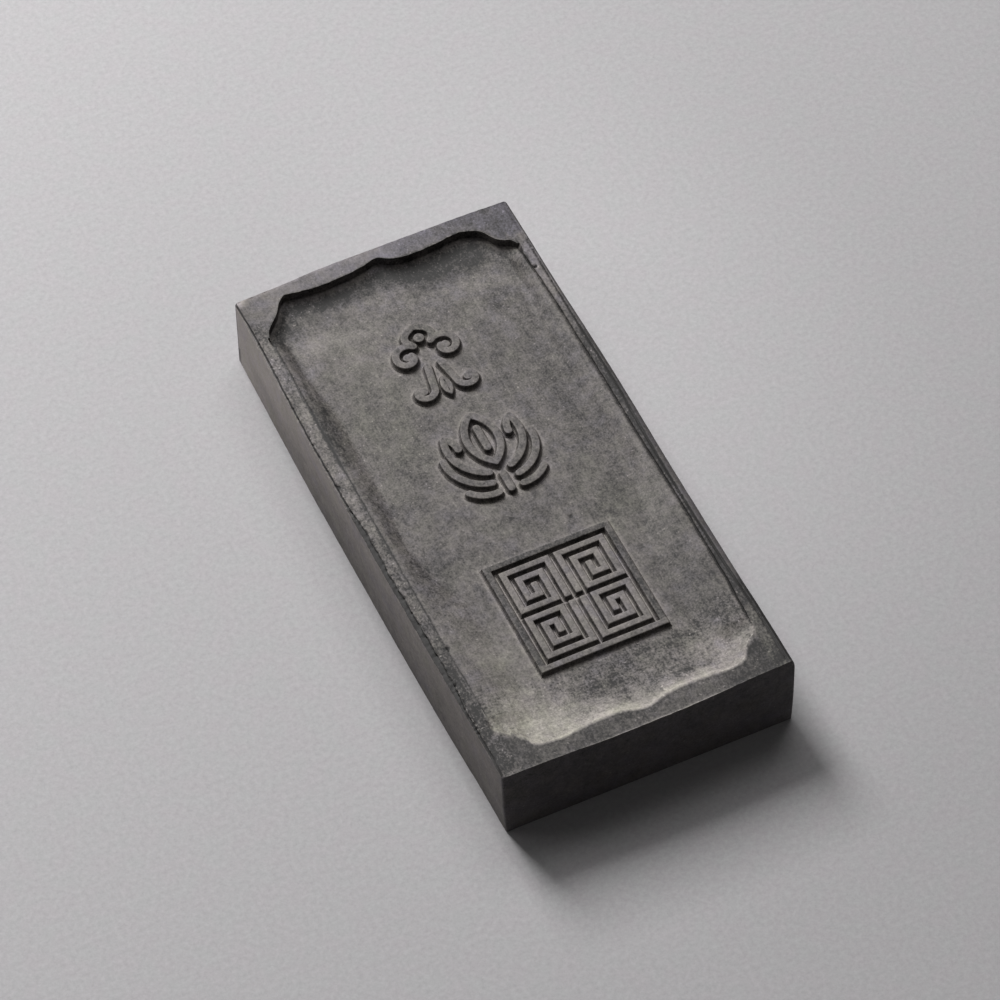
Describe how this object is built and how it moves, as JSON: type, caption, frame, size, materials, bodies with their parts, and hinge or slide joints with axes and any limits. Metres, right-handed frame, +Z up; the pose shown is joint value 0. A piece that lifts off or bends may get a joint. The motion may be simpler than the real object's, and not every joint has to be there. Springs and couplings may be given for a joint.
{
  "type": "ink cake",
  "caption": "Rectangular pressed soot-ink cake with a sunk, scallop-ended panel, and raised cloud, lotus and fret ornaments on the panel floor.",
  "frame": {"origin": "middle of the flat underside that the cake rests on", "axes": "+Z up through the sunk face, +Y along the length towards the end with the cloud scroll, +X to the right seen from above with +Y away"},
  "size_m": [0.0628, 0.1292, 0.0189],
  "materials": {
    "pressed_ink": "matt soot-black ink with a grey, slightly yellow bloom of dust and fine streaks",
    "raised_ink": "matt soot-black ink, rubbed a little smoother and greyer on the tops of the relief"
  },
  "bodies": {
    "root": {"cake_block": "pressed_ink", "cloud_head": "raised_ink", "cloud_pearl": "raised_ink", "cloud_drop": "raised_ink", "cloud_tail_right": "raised_ink", "cloud_tail_left": "raised_ink", "lotus_heart": "raised_ink", "lotus_vein": "raised_ink", "lotus_petal_right": "raised_ink", "lotus_petal_left": "raised_ink", "lotus_leaf_right": "raised_ink", "lotus_leaf_left": "raised_ink", "lotus_stem": "raised_ink", "lotus_ripple_right": "raised_ink", "lotus_ripple_left": "raised_ink", "square_border": "raised_ink", "fret_upper_right": "raised_ink", "fret_upper_left": "raised_ink", "fret_lower_right": "raised_ink", "fret_lower_left": "raised_ink"}
  },
  "joints": []
}
